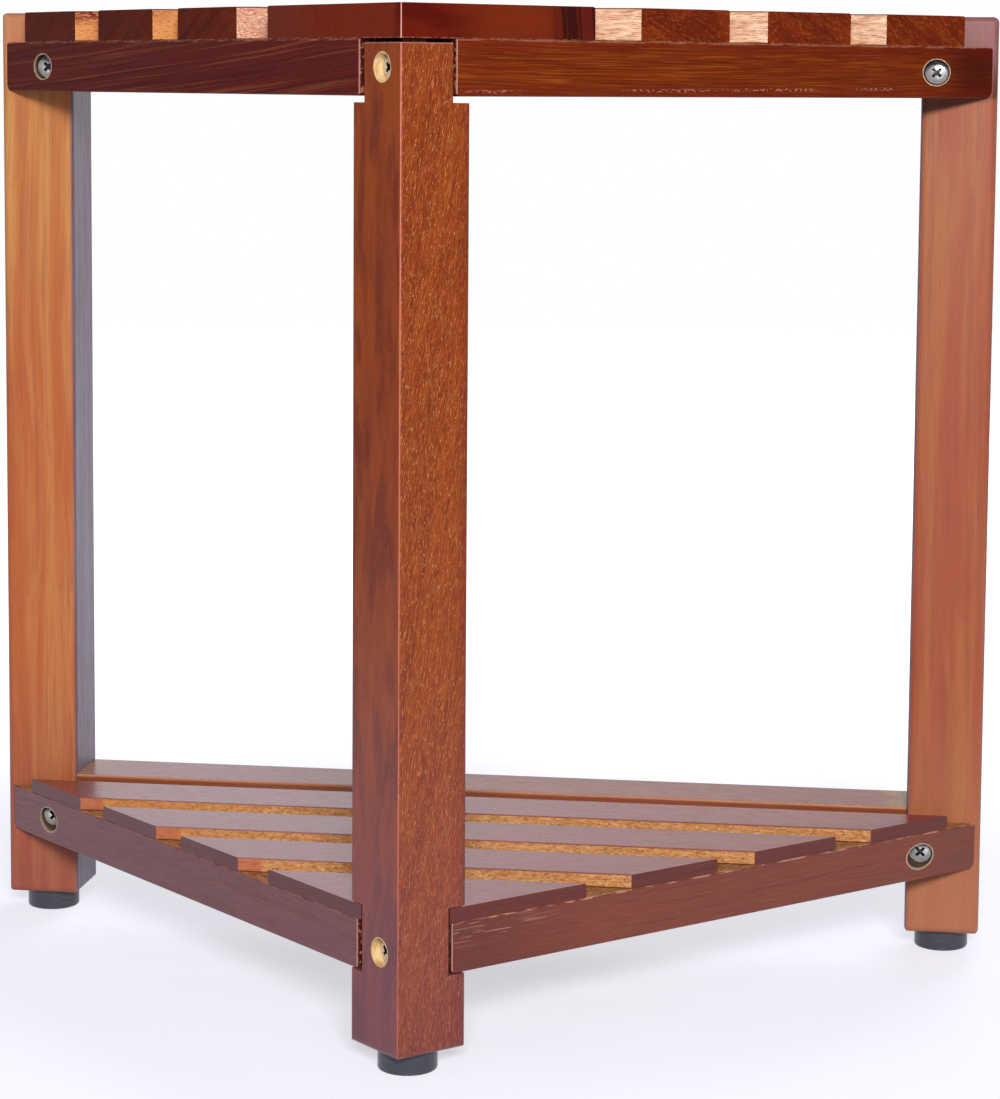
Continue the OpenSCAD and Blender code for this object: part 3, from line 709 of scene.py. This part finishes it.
class STOOL_OT_shelf(bpy.types.Operator):
    """Finish the shelf's slats and back board"""
    bl_idname = "stool.shelf"
    bl_label = "Shelf"

    def execute(self, context):
        colours = context.scene.stool_colours
        # Mahogany under thin red brown stain: smooth tops, cut ends like the rails below, and
        # golden sawn sides full of torn fibres
        material, tree, space, at, facing, width = start_wood(
            "sawn_mahogany_shelf", ACROSS, 0.5, 9, 1.5)
        tone = figured(space, colours.shelf, [
            ((190, 7, 12), 0.44, 0.62, "#7c3026", 0.5),
            ((140, 2, 6), 0.54, 0.68, "#501c1c", 0.4),
            ((26, 0.9, 2), 0.58, 0.72, "#8c4434", 0.25),
        ])
        # Painted reflections: greyer to the left, where the tops mirror the light backdrop, and orange
        # brown at the left end, where they mirror the leg
        tone = over(tone, rise(at["X"], 0.10, -0.10), PAINTED_REFLECTION_GREY, 0.60)
        tone = over(tone, rise(at["X"], -0.155, -0.205), "#8c3c20", 0.9)
        upward = rise(facing["Z"], 0.3, 0.7)
        face = add(tree, "CombineXYZ", {"X": width, "Z": at["Z"]})
        face = add(tree, "Mapping", {"Vector": face, "Scale": (math.sqrt(2) / MM, 1.0, 1 / MM)})
        ends = over("#62282c", rise(at["X"], -0.03, 0.03), "#66281e")
        ends = figured(face, ends, [
            ((60, 1, 1.5), 0.45, 0.65, "#4c1c20", 0.4),
            ((14, 1, 0.8), 0.58, 0.7, "#7c4030", 0.3),
        ])
        tone = over(ends, upward, tone)
        # Painted highlight: the upper front edges are painted pale orange
        tone = over(tone, rise(facing["Y"], -0.25, -0.5), "#b87c5c", upward, 0.4)
        side = long_sides(facing)
        # Stained again over the left-hand rail, for the last centimetre of each slat
        raw = over(speckled(space, colours.bare), rise(at["X"], -0.06, -0.16), "#c87c30", 0.35)
        inside = add(tree, "Math", [at["Y"], width], operation="SUBTRACT")
        last = rise(inside, ARRIS_Y + 13 * MM, ARRIS_Y + 9 * MM)
        reddish = figured(space, "#b86c4c", [((8, 0.9, 0.9), 0.5, 0.62, "#9c4c34", 0.6)])
        raw = over(raw, last, reddish, rise(at["X"], 0.0, -0.01), 0.9)
        tone = over(tone, side, raw)
        sheen = add(tree, "Mix", {"Factor": upward, "A": 0.35, "B": sheen_across(at, 1.00)},
                    data_type="FLOAT")
        # The brush went along the cut ends
        lengthwise = add(tree, "Math", [upward, side], operation="MAXIMUM")
        brushed = add(tree, "Mix", {"Factor": lengthwise, "A": face, "B": space}, data_type="VECTOR")
        give(varnish(material, tone, brushed, side, gloss=0.28, level=sheen, relief=0.006),
             "shelf_slat_rear", "shelf_slat_middle", "shelf_slat_front", "shelf_corner_slat")
        shelf_board()
        return {"FINISHED"}


class STOOL_OT_feet(bpy.types.Operator):
    """Finish the rubber feet"""
    bl_idname = "stool.feet"
    bl_label = "Feet"

    def execute(self, context):
        colours = context.scene.stool_colours
        # Moulded black rubber: dull, slightly blue, with a fine skin and scuffs
        material, tree = new_tree("moulded_rubber_feet")
        space = millimetres(tree)
        scuffs = strands(space, (9.0, 9.0, 1.2), 0.55, 0.72, 1, 3.0)
        tone = over(colours.rubber, scuffs, "#4a4d56")
        rough = add(tree, "MapRange", {"Value": scuffs, "To Min": 0.32, "To Max": 0.50})
        skin = strands(space, (0.7, 0.7, 0.7), 0.3, 0.7, 2)
        bump = add(tree, "Bump", {"Height": skin, "Distance": 0.03 * MM, "Strength": 1.0})
        shader = add(tree, "BsdfPrincipled", {"Base Color": tone, "Roughness": rough, "Normal": bump,
                                              "IOR": 1.52, "Specular IOR Level": 0.5})
        add(tree, "OutputMaterial", {"Surface": shader})
        give(material, "corner_foot", "left_foot", "right_foot")
        return {"FINISHED"}


def loose(name, shape):
    """An object with a bmesh's shape, in the scene."""
    mesh = bpy.data.meshes.new(name)
    shape.to_mesh(mesh)
    shape.free()
    piece = bpy.data.objects.new(name, mesh)
    bpy.context.scene.collection.objects.link(piece)
    return piece


def pan_screw(length):
    """The mesh of one pan head screw along Z, with the crown of its head at the origin."""
    radius = HEAD_D / 2
    flat = radius - HEAD_ROUND
    dome = (flat ** 2 + CROWN_H ** 2) / (2 * CROWN_H)
    profile = [(r, dome - math.sqrt(dome ** 2 - r ** 2))
               for r in (flat * share for share in (0.0, 0.2, 0.4, 0.6, 0.8, 0.92, 1.0))]
    # The crown rolls over into the head's upright side
    rolled = 0.35 * HEAD_ROUND
    profile += [(radius - rolled, CROWN_H + rolled), (radius, CROWN_H + HEAD_ROUND),
                (radius, HEAD_H - HEAD_CHAMFER), (radius - HEAD_CHAMFER, HEAD_H),
                (SHANK_D / 2, HEAD_H), (SHANK_D / 2, length - SHANK_D / 2), (TIP_R, length),
                (0.0, length)]
    shape = bmesh.new()
    corners = [shape.verts.new((r, 0.0, z)) for r, z in profile]
    edges = [shape.edges.new(pair) for pair in zip(corners, corners[1:])]
    bmesh.ops.spin(shape, geom=corners + edges, cent=(0, 0, 0), axis=(0, 0, 1), dvec=(0, 0, 0),
                   angle=math.tau, steps=48, use_merge=True, use_duplicate=False)
    bmesh.ops.remove_doubles(shape, verts=shape.verts, dist=0.002 * MM)
    bmesh.ops.recalc_face_normals(shape, faces=shape.faces)
    screw = loose("screw_blank", shape)
    # Cross recess: two tapered wings and the round of the driver's point between them
    cutters = []
    for turn in (45, 135):
        shape = bmesh.new()
        bmesh.ops.create_cube(shape, size=1.0)
        bmesh.ops.scale(shape, vec=(RECESS_L, RECESS_W, 2 * RECESS_H), verts=shape.verts)
        floor = [corner for corner in shape.verts if corner.co.z > 0]
        bmesh.ops.scale(shape, vec=(0.5, 0.7, 1.0), verts=floor)
        bmesh.ops.rotate(shape, matrix=Matrix.Rotation(math.radians(turn), 3, "Z"), verts=shape.verts)
        cutters.append(loose("recess_wing", shape))
    shape = bmesh.new()
    bmesh.ops.create_cone(shape, cap_ends=True, segments=24, radius1=DRIVER_R,
                          radius2=0.3 * RECESS_W, depth=2 * RECESS_H)
    cutters.append(loose("recess_centre", shape))
    for cutter in cutters:
        cut = screw.modifiers.new("recess", "BOOLEAN")
        cut.object = cutter
        cut.operation = "DIFFERENCE"
        cut.solver = "EXACT"
    mesh = bpy.data.meshes.new_from_object(screw.evaluated_get(bpy.context.evaluated_depsgraph_get()))
    for piece in (screw, *cutters):
        bpy.data.objects.remove(piece)
    # The recess gets its own material, a painted shade of dull dark grey
    for face in mesh.polygons:
        x, y, z = face.center
        sunk = z - (dome - math.sqrt(dome ** 2 - x * x - y * y)) if z < HEAD_H - 0.1 * MM else 0.0
        face.material_index = int(math.hypot(x, y) < 0.52 * RECESS_L and sunk > 0.1 * MM)
    return mesh


def set_screws(name, node, mesh, places, finishes):
    """Sets screws in the places of a CAD node's, as one piece that stands for it."""
    shape = bmesh.new()
    for place in places:
        known = len(shape.verts)
        shape.from_mesh(mesh)
        shape.verts.ensure_lookup_table()
        bmesh.ops.transform(shape, matrix=place, verts=shape.verts[known:])
    piece = loose(name, shape)
    for face in piece.data.polygons:
        face.use_smooth = True
    piece.data.set_sharp_from_angle(angle=math.radians(32))
    for finish in finishes:
        piece.data.materials.append(finish)
    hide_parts(node)
    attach(piece, "root")
    return piece


def plated_steel(name, bright, cloudy, smooth, dull, metallic=1.0):
    """Plated steel, smooth where it is bright and duller where it is clouded."""
    material, tree = new_tree(name)
    cloud = strands(millimetres(tree), (2.5, 2.5, 2.5), 0.4, 0.65, 1)
    tone = over(bright, cloud, cloudy)
    rough = add(tree, "MapRange", {"Value": cloud, "To Min": smooth, "To Max": dull})
    shader = add(tree, "BsdfPrincipled", {"Base Color": tone, "Roughness": rough,
                                          "Metallic": metallic})
    add(tree, "OutputMaterial", {"Surface": shader})
    return material


class STOOL_OT_screws(bpy.types.Operator):
    """Finish the screws and dowels"""
    bl_idname = "stool.screws"
    bl_label = "Screws and dowels"

    def execute(self, context):
        colours = context.scene.stool_colours
        # Chrome plated steel: bright and slightly clouded, and only part metallic, so that it stays
        # pale in the dim room
        chrome = plated_steel("chrome_plated_steel", colours.chrome, "#c0c2c8", 0.22, 0.36, 0.55)
        # Painted shade: dull dark grey steel in the recesses
        recess_shade = plated_steel("shaded_steel_recess", "#44454a", "#26262a", 0.35, 0.55)
        # Zinc plated steel: greyer than the chrome, with a softer shine
        zinc = plated_steel("zinc_plated_steel", "#b9bbbf", "#9a9da3", 0.28, 0.42)
        give(zinc, "seat_screws", "shelf_screws", "foot_screws")
        # Screws through the rails run straight back into the legs
        length = LEG_SCREWS_HIGH[1] - LEG_SCREWS_LOW[1]
        back = Matrix.Rotation(math.radians(-90), 4, "X")
        width = LEG_SCREWS_HIGH[0] - HEAD_D / 2
        levels = (LEG_SCREWS_LOW[2] + HEAD_D / 2, LEG_SCREWS_HIGH[2] - HEAD_D / 2)
        set_screws("leg_screw_set", "leg_screws", pan_screw(length),
                   [Matrix.Translation((x, LEG_SCREWS_LOW[1], z)) @ back
                    for x in (-width, width) for z in levels], (chrome, recess_shade))
        # Screws through the post run at right angles to its left-hand face
        inset = COS_45 * (HEAD_D / 2 - CROWN_H)
        crown = Vector((POST_SCREWS_LOW[0] + inset, POST_SCREWS_LOW[1] + inset, 0.0))
        length = (POST_SCREWS_HIGH[0] - crown.x) / COS_45 - TIP_R
        levels = (POST_SCREWS_LOW[2] + HEAD_D / 2, POST_SCREWS_HIGH[2] - HEAD_D / 2)
        set_screws("post_screw_set", "post_screws", pan_screw(length),
                   [Matrix.Translation(crown + Vector((0.0, 0.0, z)))
                    @ Matrix.Rotation(math.radians(-45), 4, "Z") @ back for z in levels],
                   (chrome, recess_shade))
        # Turned beech: pale and dull, with fine dark flecks
        material, tree = new_tree("turned_beech_dowels")
        space = millimetres(tree, ACROSS, 0.3, 12)
        tone = figured(space, "#d8b27a", [
            ((30, 1, 1), 0.45, 0.65, "#e3c494", 0.7),
            ((2.5, 0.5, 0.5), 0.6, 0.68, "#a97c48", 0.7),
        ])
        give(varnish(material, tone, space, gloss=0.7), "rail_dowels", "board_dowels")
        return {"FINISHED"}


def paper_floor(studio):
    """Lays white paper that keeps the stool's shadow and runs out into the white room."""
    shape = bmesh.new()
    bmesh.ops.create_circle(shape, cap_ends=True, segments=96, radius=FLOOR_R)
    floor = loose("floor", shape)
    material, tree = new_tree("white_paper_floor")
    place = add(tree, "TexCoord").outputs["Object"]
    rays = add(tree, "LightPath").outputs
    # It glows less beside the stool, where the shadow falls, than further off
    near_edge, far_edge, near_glow = 0.35, 0.85, 0.58
    away = add(tree, "VectorMath", [place], operation="LENGTH").outputs["Value"]
    lift = add(tree, "MapRange", {"Value": away, "From Min": near_edge, "From Max": far_edge,
                                  "To Min": near_glow, "To Max": 1.0}, interpolation_type="SMOOTHSTEP")
    seen = add(tree, "Math", [rays["Is Camera Ray"], rays["Is Glossy Ray"]], operation="MAXIMUM")
    seen = add(tree, "Math", [lift, seen], operation="MULTIPLY")
    paper = add(tree, "BsdfDiffuse", {"Color": opaque("#cacedf")})
    glow = add(tree, "Emission", {"Color": opaque("#fbfbff"), "Strength": seen})
    both = add(tree, "AddShader", [paper, glow])
    # In reflections the paper ends in the dim room at the sides and in front
    at = add(tree, "SeparateXYZ", {"Vector": place}).outputs
    wide = add(tree, "Math", [at["X"]], operation="ABSOLUTE")
    forward = add(tree, "Math", [at["Y"], -0.6], operation="MULTIPLY")
    wide = add(tree, "Math", [wide, forward], operation="MAXIMUM")
    ended = add(tree, "Math", [rise(wide, 0.6, 1.5), rays["Is Glossy Ray"]], operation="MULTIPLY")
    dim = add(tree, "Emission", {"Color": opaque(WHITE), "Strength": studio.dim_level})
    both = add(tree, "MixShader", [ended, both, dim])
    add(tree, "OutputMaterial", {"Surface": both})
    floor.data.materials.append(material)


def white_room(scene, studio):
    """Lights the room evenly. It is white to the camera and in reflections."""
    world = bpy.data.worlds.new("white_room")
    world.use_nodes = True
    tree = world.node_tree
    tree.nodes.clear()
    rays = add(tree, "LightPath").outputs
    # Reflections find the white backdrop behind the stool, and a dim room at its sides and front
    toward = add(tree, "SeparateXYZ", {"Vector": add(tree, "TexCoord").outputs["Generated"]})
    mirrored = add(tree, "MapRange", {"Value": rise(toward.outputs["Y"], 0.25, 0.75),
                                      "To Min": studio.dim_level, "To Max": 1.0})
    level = add(tree, "Mix", {"Factor": rays["Is Glossy Ray"], "A": studio.room_level, "B": mirrored},
                data_type="FLOAT")
    direct = add(tree, "Math", [rays["Is Camera Ray"], rays["Is Transmission Ray"]],
                 operation="MAXIMUM")
    level = add(tree, "Mix", {"Factor": direct, "A": level, "B": 1.0}, data_type="FLOAT")
    room = add(tree, "Background", {"Color": opaque(WHITE), "Strength": level})
    add(tree, "OutputWorld", {"Surface": room})
    scene.world = world


def soft_lamps(scene, studio):
    """Sets a key lamp in front and to the right, a weak fill on the left and a lamp behind."""
    target = Vector((0.0, 0.0, 0.24))
    lamps = (
        ("key_lamp", (0.50, -2.45, 1.16), 0.8, 0.36, studio.key_power, "#fffaf6"),
        ("fill_lamp", (-1.70, -1.90, 0.90), 1.4, 1.4, studio.fill_power, "#eef2ff"),
        ("rear_lamp", (0.60, 2.30, 1.30), 1.4, 1.4, studio.rear_power, WHITE),
    )
    for name, place, width, height, power, shade in lamps:
        lamp = bpy.data.lights.new(name, "AREA")
        lamp.shape = "RECTANGLE"
        lamp.size = width
        lamp.size_y = height
        lamp.energy = power
        lamp.color = linear(shade)
        holder = bpy.data.objects.new(name, lamp)
        holder.location = place
        holder.visible_glossy = name != "rear_lamp"
        holder.rotation_euler = (target - Vector(place)).to_track_quat("-Z", "Y").to_euler()
        scene.collection.objects.link(holder)


def photo_camera(scene, studio):
    """Sets the camera at the photo's viewing angle."""
    lens = bpy.data.cameras.new("camera")
    lens.sensor_fit = "AUTO"
    lens.sensor_width = SENSOR
    lens.lens = studio.lens
    lens.shift_y = studio.lens_shift
    lens.clip_start = 0.05
    lens.clip_end = 50.0
    camera = bpy.data.objects.new("camera", lens)
    turn = (Matrix.Rotation(math.radians(CAMERA_YAW), 3, "Z")
            @ Matrix.Rotation(math.radians(90 - CAMERA_DOWN), 3, "X")
            @ Matrix.Rotation(math.radians(CAMERA_ROLL), 3, "Z"))
    camera.matrix_world = Matrix.Translation(CAMERA_PLACE) @ turn.to_4x4()
    scene.collection.objects.link(camera)
    scene.camera = camera


class STOOL_OT_stage(bpy.types.Operator):
    """Set up the floor, the light and the camera"""
    bl_idname = "stool.stage"
    bl_label = "Stage"

    def execute(self, context):
        scene = context.scene
        studio = scene.stool_studio
        paper_floor(studio)
        white_room(scene, studio)
        soft_lamps(scene, studio)
        photo_camera(scene, studio)
        scene.view_settings.view_transform = "Standard"
        return {"FINISHED"}


OPERATORS = (
    STOOL_OT_stage,
    STOOL_OT_corner_post,
    STOOL_OT_side_legs,
    STOOL_OT_rails,
    STOOL_OT_seat,
    STOOL_OT_shelf,
    STOOL_OT_feet,
    STOOL_OT_screws,
)


class STOOL_PT_panel(bpy.types.Panel):
    """Lists the stool's pieces"""
    bl_idname = "STOOL_PT_panel"
    bl_label = "Corner shower stool"
    bl_space_type = "VIEW_3D"
    bl_region_type = "UI"
    bl_category = "Stool"

    def draw(self, context):
        layout = self.layout
        for group in (context.scene.stool_colours, context.scene.stool_studio):
            box = layout.box()
            for name in group.__annotations__:
                box.prop(group, name)
        for operator in OPERATORS:
            layout.operator(operator.bl_idname)


CLASSES = (StoolColours, StoolStudio, *OPERATORS, STOOL_PT_panel)


def register():
    for cls in CLASSES:
        bpy.utils.register_class(cls)
    bpy.types.Scene.stool_colours = PointerProperty(type=StoolColours)
    bpy.types.Scene.stool_studio = PointerProperty(type=StoolStudio)


def unregister():
    del bpy.types.Scene.stool_studio
    del bpy.types.Scene.stool_colours
    for cls in reversed(CLASSES):
        bpy.utils.unregister_class(cls)


def main():
    """Runs the operators in order."""
    register()
    for operator in OPERATORS:
        group, name = operator.bl_idname.split(".")
        getattr(getattr(bpy.ops, group), name)()


if __name__ == "__main__":
    main()
